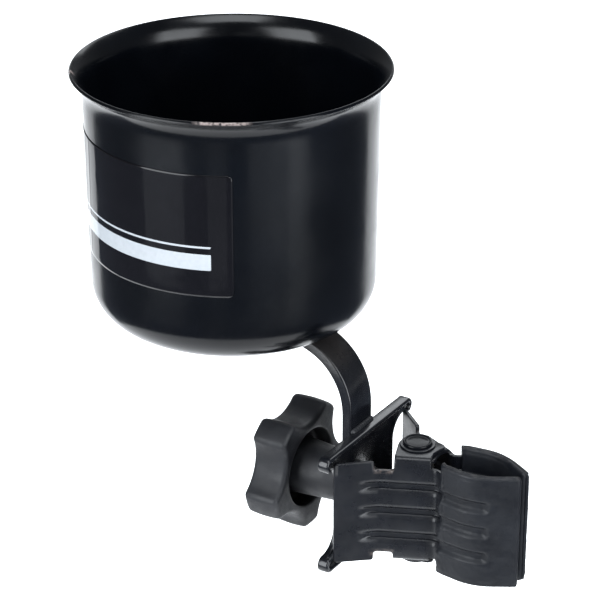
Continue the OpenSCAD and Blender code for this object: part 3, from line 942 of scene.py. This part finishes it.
def clamp_screw():
    """The M6 screw: moulded-in hexagon, plain shank, retaining groove and real thread."""
    low, high, head_t, around = SCREW_LOW.x, SCREW_HIGH.x, 4.0, 36
    groove_from, groove_to = RING_LOW.x - 0.02, RING_HIGH.x + 0.02
    thread_from, depth = RING_HIGH.x + 0.5, 0.55

    def radius(x, angle):
        if groove_from <= x <= groove_to:
            return 2.3
        if x < thread_from:
            return SCREW_R
        turn = ((x - thread_from) / SCREW_PITCH - angle / (2 * math.pi)) % 1.0
        ridge = 1 - abs(2 * turn - 1)
        crest = min(1.0, max(0.0, (ridge - 0.12) / 0.70))
        cut = depth * (1 - crest) * smooth_step(x, thread_from, thread_from + 1.0)
        return max(0.6, min(SCREW_R - cut, SCREW_R - 0.9 + (high - x) * 0.95))

    bm = bmesh.new()
    loops = []
    stations = [low + head_t, groove_from - 1e-3, groove_from, groove_to, groove_to + 1e-3]
    for x in stations + spread(thread_from, high, SCREW_PITCH / 10):
        angles = [2 * math.pi * k / around for k in range(around)]
        loops.append([bm.verts.new((x, radius(x, a) * math.cos(a), radius(x, a) * math.sin(a)))
                      for a in angles])
    join_chain(bm, loops, capped=True)
    # Hexagonal head with its faces' corners chamfered
    head = [ring(bm, x, arc_points((0, 0), SCREW_HIGH.z - shrink, 90, 450, 6)[:-1])
            for x, shrink in ((low, 0.5), (low + 0.35, 0.0), (low + head_t, 0.0))]
    join_chain(bm, head, capped=True)
    piece = add_mesh("m6_screw", bm)
    sharpen(piece, 35)
    return finish_piece(piece, "clamp_screw")


def washer(bm, inner, outer, low, high, edge, frame_of):
    """A flat washer with rounded edges, from low to high along its axis."""
    profile = []
    for h, start in ((low + edge, -90), (high - edge, 0)):
        profile += [tuple(p) for p in arc_points((outer - edge, h), edge, start, start + 90, 4)]
    soft = edge * 0.6
    profile += [(inner + soft, high), (inner, high - soft), (inner, low + soft),
                (inner + soft, low)]
    revolve(bm, profile, frame_of)


def thrust_washer():
    low, high = mm_box("thrust_washer")
    bm = bmesh.new()
    washer(bm, SCREW_R + 0.05, (high.y - low.y) / 2, low.x, high.x, 0.22, lying)
    return finish_piece(add_mesh("plain_washer", bm), "thrust_washer")


def retaining_ring():
    """A push-on ring with three inner lugs and an open side."""
    outer, lug, gap_half, lug_angles, steps = RING_HIGH.y, 2.34, 26, (122, 270, 418), 96
    bm = bmesh.new()
    layers = []
    for x, shrink in ((RING_LOW.x, 0.1), (RING_LOW.x + 0.12, 0), (RING_HIGH.x - 0.12, 0),
                      (RING_HIGH.x, 0.1)):
        rim, bore = [], []
        for k in range(steps + 1):
            turn = 90 + gap_half + (360 - 2 * gap_half) * k / steps
            a = math.radians(turn)
            near_lug = max(1 - smooth_step(abs(turn - c), 9, 15) for c in lug_angles)
            inner = lug + (1 - near_lug) * 1.1
            for row, r in ((rim, outer - shrink), (bore, inner + shrink)):
                row.append(bm.verts.new((x, r * math.cos(a), r * math.sin(a))))
        layers.append(rim + bore[::-1])
    join_chain(bm, layers)
    for layer in (layers[0], layers[-1]):
        join_loops(bm, layer[:steps + 1], layer[steps + 1:][::-1], closed=False)
    piece = add_mesh("e_ring", bm)
    sharpen(piece, 40)
    return finish_piece(piece, "retaining_ring")


# ---- pivot ------------------------------------------------------------------------


def pivot_barrel():
    half, edge = BARREL_HIGH.z, 0.5
    end = [(0, half), (RIVET_R, half), (BARREL_R - edge, half), (BARREL_R - 0.15, half - 0.2),
           (BARREL_R, half - edge)]
    profile = [(r, -z) for r, z in end]
    profile += [(BARREL_R, z) for z in spread(-half + 2, half - 2, 2.4)] + end[::-1]
    bm = bmesh.new()
    revolve(bm, profile, upright(PIVOT_X), closed=False)
    piece = add_mesh("pivot_post", bm)
    drill(piece, SCREW_R + 0.05, BARREL_LOW.x - 1, BARREL_HIGH.x + 1)
    return finish_piece(piece, "pivot_barrel")


def pivot_rivets():
    """Peened heads: a low dome inside a rolled rim, on a short length of shank."""
    seat, bottom = WASHER_HIGH, BARREL_HIGH.z - 1.5
    top = RIVET_HIGH - seat
    head = ((0, 0.82), (1.6, 0.80), (2.9, 0.70), (3.15, 0.62), (3.35, 0.66), (3.60, 0.92),
            (3.80, 1.0), (4.02, 0.97), (4.18, 0.78), (RIVET_HEAD_R, 0.45))
    profile = [(r, seat + top * share) for r, share in head]
    profile += [(RIVET_HEAD_R - 0.05, seat + 0.08), (RIVET_HEAD_R - 0.15, seat),
                (RIVET_R, seat), (RIVET_R, bottom), (0, bottom)]
    bm = bmesh.new()
    for up in (1, -1):
        revolve(bm, profile, lambda a, b, h: Vector((PIVOT_X + a, b * up, h * up)),
                closed=False)
    return finish_piece(add_mesh("rivet_heads", bm), "pivot_rivets")


def pivot_washers():
    bm = bmesh.new()
    for low in (WASHER_HIGH - PIVOT_WASHER_T, -WASHER_HIGH):
        washer(bm, RIVET_R + 0.02, PIVOT_WASHER_R, low, low + PIVOT_WASHER_T, 0.16,
               upright(PIVOT_X))
    return finish_piece(add_mesh("rivet_washers", bm), "pivot_washers")


# ---- jaws ---------------------------------------------------------------------------

JAW_LINE = Line(rounded(JAW_POINTS, JAW_RADII, 12))
S_END = JAW_LINE.length
S_PAD = JAW_LINE.s_at_x(PAD_FROM)
S_NOTCH, S_EAR, S_GROOVE = ([JAW_LINE.s_at_x(x) for x in pair] for pair in
                            ((NOTCH_FROM, NOTCH_TO), (EAR_FROM, EAR_TO),
                             (GROOVE_FROM, GROOVE_TO)))
BEND_R = 1.3                             # the ears' fold, at the middle of the sheet


def groove_depth(s, z, soft=0.0):
    """How far the pressed grooves push the sheet in at a point of the flat pattern."""
    start, end = S_GROOVE
    along = smooth_step(s, start, start + 4.6) * (1 - smooth_step(s, end - 2.4 - soft, end))
    half, edge = GROOVE_W / 2, 1.15 + soft
    nearest = min(abs(z - k * GROOVE_PITCH) for k in (-1, 0, 1))
    return GROOVE_DEPTH * along * (1 - smooth_step(nearest, half - edge, half + 0.25 * edge))


class Stamping:
    """Maps the jaw's flat pattern (s along the plate, z up) to its formed shape.
    The outer ear folds in at the top and the inner ear at the bottom."""

    def __init__(self):
        start, t = JAW_LINE.at(S_EAR[0])
        to_pivot = Vector((PIVOT_X, 0)) - start
        self.s_pivot = S_EAR[0] + to_pivot.dot(t)
        self.reach = -to_pivot.dot(Vector((-t.y, t.x)))
        self.folds = {1: OUTER_EAR + SHEET / 2 - BEND_R, -1: INNER_EAR + SHEET / 2 - BEND_R}
        self.arc = BEND_R * math.pi / 2

    def in_ear(self, s, z):
        return S_EAR[0] - 0.05 <= s <= S_EAR[1] + 0.05 or abs(z) > JAW_H / 2 + 0.03

    def ear_centre(self, up):
        """The pivot's place in the flat pattern of one ear."""
        return Vector((self.s_pivot, up * (self.folds[up] + self.arc + self.reach - BEND_R)))

    def place(self, s, z):
        """Formed place of the middle of the sheet."""
        p, t = JAW_LINE.at(s)
        out = Vector((-t.y, t.x))
        up = 1 if z > 0 else -1
        past = abs(z) - self.folds[up]
        if past <= 0 or not self.in_ear(s, z):
            inwards, height = groove_depth(s, z), abs(z)
        elif past < self.arc:
            a = past / BEND_R
            inwards, height = BEND_R * (1 - math.cos(a)), self.folds[up] + BEND_R * math.sin(a)
        else:
            inwards, height = BEND_R + past - self.arc, self.folds[up] + BEND_R
        q = p - out * inwards
        return Vector((q.x, q.y, up * height))

    def normal(self, s, z):
        """Normal from places a little way off that are on the same side of the ear's root."""
        e, here = 0.02, self.in_ear(s, z)

        def step(ds, dz):
            stays = self.in_ear(s + ds, z + dz) == here
            return self.place(s + ds, z + dz) if stays else self.place(s, z)

        return (step(e, 0) - step(-e, 0)).cross(step(0, e) - step(0, -e)).normalized()


def tangent_point(p, centre, r, side):
    """Where the line from p touches a circle on one side, 1 or -1."""
    away = centre - p
    turn = math.atan2(away.y, away.x) + side * math.asin(r / away.length)
    length = math.sqrt(away.length ** 2 - r * r)
    return p + length * Vector((math.cos(turn), math.sin(turn)))


def jaw_outline(form):
    """Flat pattern of a jaw, anticlockwise in (s, z), with softened corners."""
    half = JAW_H / 2

    def edge(up):
        """Points and corner radii along one edge, from the back towards the tip."""
        centre = form.ear_centre(up)
        root = up * (form.folds[up] + form.arc + 0.2)
        left, right = Vector((S_EAR[0], root)), Vector((S_EAR[1], root))
        a = tangent_point(left, centre, EAR_R, up)
        b = tangent_point(right, centre, EAR_R, -up)
        start = math.degrees(math.atan2(a.y - centre.y, a.x - centre.x))
        end = math.degrees(math.atan2(b.y - centre.y, b.x - centre.x))
        sweep = (end - start) % 360 if up < 0 else -((start - end) % 360)
        deep, neck = up * (half - NOTCH_DEPTH), up * (half - NECK_STEP)
        tab = [left] + arc_points(centre, EAR_R, start, start + sweep, 24) + [right]
        return ([((0, up * half), 1.1), ((S_NOTCH[0], up * half), 0.7),
                 ((S_NOTCH[0] + 0.15, deep), 0.8), ((S_EAR[0], deep), 0.9)]
                + [(tuple(q), 0) for q in tab]
                + [((S_EAR[1], neck), 0.7), ((S_END, neck), 0)])

    loop = edge(-1) + edge(1)[::-1]
    # rounded() needs a point on each side, so the loop is padded by one at both ends
    loop = [(loop[-1][0], 0)] + loop + [(loop[0][0], 0)]
    path = rounded([p for p, _ in loop], [r for _, r in loop], 5)[1:-1]
    return without_repeats(path, 0.02)


def cut_grid(bm, values, axis):
    """Cuts a flat pattern along lines of constant s (axis 0) or z (axis 1)."""
    normal = [float(k == axis) for k in range(3)]
    for value in values:
        bmesh.ops.bisect_plane(bm, geom=bm.verts[:] + bm.edges[:] + bm.faces[:], dist=0.02,
                               plane_co=[value * n for n in normal], plane_no=normal)


def jaw_pattern(form):
    """The flat pattern as a mesh, cut into a grid that is fine at the grooves and folds."""
    bm = bmesh.new()
    bm.faces.new([bm.verts.new((p.x, p.y, 0)) for p in jaw_outline(form)])
    clear_of = S_EAR + [0, S_END]
    cut_grid(bm, [s for s in spread(0, S_END, 0.62)[1:-1]
                  if all(abs(s - e) > 0.4 for e in clear_of)], 0)
    rows = [k * GROOVE_PITCH + d for k in (-1, 0, 1) for d in spread(-2.5, 2.5, 0.34)]
    for up in (1, -1):
        fold, flat = form.folds[up], form.folds[up] + form.arc
        rows += [up * (fold + form.arc * f) for f in (0.0, 0.2, 0.4, 0.6, 0.8, 1.0)]
        rows += [up * v for v in (12.0, flat + 2.5, fold + 7.0)]
    cut_grid(bm, sorted(rows), 1)
    bmesh.ops.remove_doubles(bm, verts=bm.verts, dist=0.09)
    for face in bm.faces:
        if face.normal.z < 0:
            face.normal_flip()
    return bm


def jaw_mesh(name):
    """One stamping: the flat pattern formed, thickened and its edges eased."""
    form = Stamping()
    bm = jaw_pattern(form)
    half, ease, soft = SHEET / 2, 0.26, 0.29 * 0.26
    formed = {v: form.place(v.co.x, v.co.y) for v in bm.verts}
    normals = {v: form.normal(v.co.x, v.co.y) for v in bm.verts}
    outward = {}
    rim = [e for e in bm.edges if len(e.link_faces) == 1]
    for e in rim:
        a, b = e.verts
        face = e.link_faces[0]
        along = (formed[b] - formed[a]).normalized()
        across = along.cross((normals[a] + normals[b]).normalized())
        centre = sum((formed[v] for v in face.verts), Vector()) / len(face.verts)
        if across.dot((formed[a] + formed[b]) / 2 - centre) < 0:
            across = -across
        for v in (a, b):
            outward[v] = outward.get(v, Vector()) + across
    made = bmesh.new()

    def new(co):
        return made.verts.new((co.x, -co.y, co.z))

    fronts, backs, edges = {}, {}, {}
    for v in bm.verts:
        p, n = formed[v], normals[v]
        if v in outward:
            b = outward[v].normalized()
            # Round the cut edge from one face of the sheet to the other
            fronts[v] = new(p + n * half - b * ease)
            backs[v] = new(p - n * half - b * ease)
            edges[v] = [fronts[v], new(p + n * (half - soft) - b * soft),
                        new(p + n * (half - ease)), new(p - n * (half - ease)),
                        new(p - n * (half - soft) - b * soft), backs[v]]
        else:
            fronts[v], backs[v] = new(p + n * half), new(p - n * half)
    for face in bm.faces:
        for table in (fronts, backs):
            made.faces.new([table[v] for v in face.verts])
    for e in rim:
        join_loops(made, edges[e.verts[0]], edges[e.verts[1]], closed=False)
    bm.free()
    return add_mesh(name, made)


def jaw_wear(co, normal):
    """Paint is thin on the sheared edges of the notches."""
    along = smooth_step(co.x, NOTCH_FROM - 0.5, NOTCH_FROM)
    along *= 1 - smooth_step(co.x, NOTCH_TO, NOTCH_TO + 0.5)
    edge = smooth_step(abs(co.z), 12.6, 13.1) * (1 - smooth_step(abs(co.z), 14, 15))
    return 0.8 * along * edge


def turned_half_round(piece):
    """The far side's pieces are the near side's, turned round the clamp screw's axis."""
    piece.data.transform(Matrix.Rotation(math.pi, 4, "X"))
    return piece


def jaws():
    near, far = jaw_mesh("near_jaw_stamping"), jaw_mesh("far_jaw_stamping")
    finish_piece(near, "near_jaw", jaw_wear)
    finish_piece(turned_half_round(far), "far_jaw", jaw_wear)


def sleeve_mesh(name, seed):
    """A soft sleeve shrunk over the end of a jaw, drawn for the near side."""
    half_h, wall, soft, corner = SLEEVE_H / 2, SHEET / 2 + SLEEVE_T, 0.9, 1.6
    s_tip = S_END + SLEEVE_TIP
    near_edge = [0.0, 0.05, 0.16, 0.34, 0.6, 0.92, 1.25]
    stations = [S_PAD + d for d in (0.0, 0.25, 0.6, 1.1)]
    stations += spread(S_PAD + 1.6, s_tip - 1.7, 0.42) + [s_tip - d for d in near_edge[::-1]]
    rows = [-half_h + d for d in near_edge] + spread(-half_h + 1.7, half_h - 1.7, 0.42)
    rows += [half_h - d for d in near_edge[::-1]]
    bm = bmesh.new()

    def vertex(p, z):
        """On the near side, and clear of the other jaw's sleeve."""
        return bm.verts.new((p.x, -max(p.y, HALF_GAP), z))

    def both_sides(s, z):
        """The outer and the inner vertex at one place of the flattened tube."""
        # The cut end at the neck is ragged, with one corner standing up
        ragged = 0.35 * wobble((z, 0, seed), 1.1) + 0.4 * wobble((z, 5, seed), 4.0)
        ragged += 0.9 + 0.9 * smooth_step(z, 2, 15)
        fade = 1 - smooth_step(s, S_PAD, S_PAD + 4.5)
        in_s, in_z = corner_shift(s_tip - s, half_h - abs(z), corner)
        s_here, z_here = s + ragged * fade - in_s, z - math.copysign(in_z, z)
        p, t = JAW_LINE.at(s_here)
        out = Vector((-t.y, t.x))
        edge = min(s_tip - s, half_h - abs(z))
        thick = wall * math.sqrt(max(0.0, 1 - max(0.0, 1 - edge / soft) ** 2))
        thick *= 1 - 0.16 * smooth_step(abs(z), JAW_H / 2 - 0.4, JAW_H / 2 + 0.5)
        crease = 0.12 * wobble((s * 0.6, z, seed), 2.6) + 0.07 * wobble((s, z, seed), 1.0)
        crease += 0.38 * fade * wobble((s * 1.8, z * 0.6, seed), 1.0)
        # A moulded hem stands up along the edges and the cut end
        hem = min(edge, s - S_PAD)
        crease += 0.16 * smooth_step(hem, 0.2, 0.7) * (1 - smooth_step(hem, 1.0, 1.9))
        middle = p - out * groove_depth(s_here, z_here, 0.05)
        return (vertex(middle + out * (thick + crease * (thick / wall) - 0.06), z_here),
                vertex(middle - out * (thick - 0.06), z_here))

    outer, inner = [], []
    for s in stations:
        sides = [both_sides(s, z) for z in rows]
        outer.append([side[0] for side in sides])
        inner.append([side[1] for side in sides])

    def rim(grid):
        return [c[0] for c in grid] + grid[-1][1:] + [c[-1] for c in grid[::-1]][1:]

    join_chain(bm, outer, closed=False)
    join_chain(bm, inner, closed=False)
    # Close the rim, and turn the cut end inwards onto the steel
    join_loops(bm, rim(outer), rim(inner), closed=False)
    p, t = JAW_LINE.at(S_PAD + 0.25)
    out = Vector((-t.y, t.x))
    lip = []
    for grid, sign in ((outer, 1), (inner, -1)):
        row = []
        for v, z in zip(grid[0], rows):
            lift = sign * (SHEET / 2 - 0.1) - groove_depth(S_PAD, z, 0.45)
            q = p + out * lift
            row.append(bm.verts.new(((v.co.x + q.x) / 2 + 0.12, -q.y, v.co.z)))
        lip.append(row)
        join_loops(bm, grid[0], row, closed=False)
    join_loops(bm, lip[0], lip[1], closed=False)
    for end in (0, -1):
        bm.faces.new([outer[0][end], inner[0][end], lip[1][end], lip[0][end]])
    bmesh.ops.remove_doubles(bm, verts=bm.verts, dist=0.004)
    return add_mesh(name, bm)


def sleeve_wear(co, normal):
    end = 1 - smooth_step(co.x, PAD_FROM + 0.1, PAD_FROM + 0.9)
    top = smooth_step(abs(co.z), SLEEVE_H / 2 - 0.7, SLEEVE_H / 2 - 0.2)
    return max(0.5 * end, 0.55 * top)


def sleeves():
    near, far = sleeve_mesh("near_sleeve_skin", 3.0), sleeve_mesh("far_sleeve_skin", 11.0)
    finish_piece(near, "near_jaw_sleeve", sleeve_wear)
    finish_piece(turned_half_round(far), "far_jaw_sleeve", sleeve_wear)


# ---- studio -------------------------------------------------------------------------


def place_round(name, data, azimuth, elevation, distance, aim):
    """An object that looks at aim. Azimuth 0 is in front and 90 towards the jaws."""
    a, e = math.radians(azimuth), math.radians(elevation)
    out = Vector((math.sin(a) * math.cos(e), -math.cos(a) * math.cos(e), math.sin(e)))
    made = bpy.data.objects.new(name, data)
    made.location = Vector(aim) + out * distance
    made.rotation_euler = (-out).to_track_quat("-Z", "Y").to_euler()
    bpy.context.scene.collection.objects.link(made)
    return made


def camera():
    """The photograph's view: 32 degrees round, 25 degrees down, a long lens."""
    data = bpy.data.cameras.new("camera")
    data.sensor_width, data.lens = 36, 149.45
    data.clip_start, data.clip_end = 0.05, 20
    bpy.context.scene.camera = place_round("camera", data, 32.0, 25.08, 0.7255,
                                           Vector(CAMERA_AIM) * MM)


def soft_box(name, azimuth, elevation, distance, size, power, aim=(-0.06, 0.0, 0.06)):
    """A rectangular light, hidden from the camera; distance, size and aim are in metres."""
    data = bpy.data.lights.new(name, "AREA")
    data.shape = "RECTANGLE"
    data.size, data.size_y = size
    data.energy = power
    data.color = (0.92, 0.96, 1.0)
    place_round(name, data, azimuth, elevation, distance, aim).visible_camera = False


def studio():
    scene = bpy.context.scene
    scene.view_settings.view_transform = "Standard"
    scene.world = bpy.data.worlds.new("world")
    scene.world.use_nodes = True
    sky = scene.world.node_tree.nodes["Background"].inputs
    sky["Color"].default_value = (0.94, 0.97, 1, 1)
    sky["Strength"].default_value = 0.2
    bm = bmesh.new()
    bmesh.ops.create_grid(bm, x_segments=8, y_segments=8, size=FLOOR_HALF)
    floor = add_mesh("floor", bm)
    floor.location.z = FLOOR_Z * MM
    m = Paint("floor_paper", (0.93, 0.93, 0.93), 0.85, ior=1.2)
    m.feed("Base Color", m.blend(m.noise(900, 2), (0.92, 0.92, 0.92), (0.95, 0.95, 0.95)))
    # A little light of its own keeps the paper even where the lamps do not reach
    m.set("Emission Color", (0.95, 0.97, 1, 1))
    m.set("Emission Strength", 0.55)
    floor.data.materials.append(m.mat)
    soft_box("softbox_right", 76, 15, 0.8, (0.52, 0.86), 14)
    soft_box("softbox_left", -20, 15, 0.8, (0.52, 0.86), 15)
    soft_box("rear", 205, 60, 1.6, (1.8, 1.2), 32, aim=(-0.35, 0.5, -0.16))
    # Tall panels standing on the floor, which the cup's wall reflects as soft upright bands
    foot = (CUP_X * MM, 0, 0.06)
    soft_box("panel_right", 84, 0, 0.5, (0.15, 0.44), 0.14, aim=foot)
    soft_box("panel_wide", 66, 0, 0.52, (0.40, 0.44), 0.42, aim=foot)
    soft_box("panel_left", -20, 0, 0.5, (0.30, 0.44), 0.26, aim=foot)
    soft_box("panel_middle", 22, 0, 0.5, (0.13, 0.44), 0.08, aim=foot)
    soft_box("overhead", 30, 76, 0.9, (0.5, 0.4), 6)
    reflection_flag()


def reflection_flag():
    """A dark card on the floor in front, seen only in reflections, so gloss looks black."""
    bm = bmesh.new()
    loops = [[bm.verts.new((CUP_X + p.x, p.y, FLOOR_Z + 2))
              for p in arc_points((0, 0), r, FLAG_FROM, FLAG_TO, 32)] for r in FLAG_RADII]
    join_loops(bm, *loops, closed=False)
    card = add_mesh("flag", bm)
    m = Paint("flag_card", (0.09, 0.10, 0.12), 0.9, ior=1.2)
    m.feed("Base Color", m.blend(m.noise(300, 2), (0.08, 0.09, 0.11), (0.10, 0.11, 0.13)))
    card.data.materials.append(m.mat)
    card.visible_camera = card.visible_diffuse = card.visible_shadow = False


camera()
studio()
for build in (cup, cup_label, strap, cup_weld, yoke, yoke_weld, knob, knob_cap, clamp_screw,
              thrust_washer, retaining_ring, pivot_barrel, pivot_rivets, pivot_washers,
              jaws, sleeves):
    build()
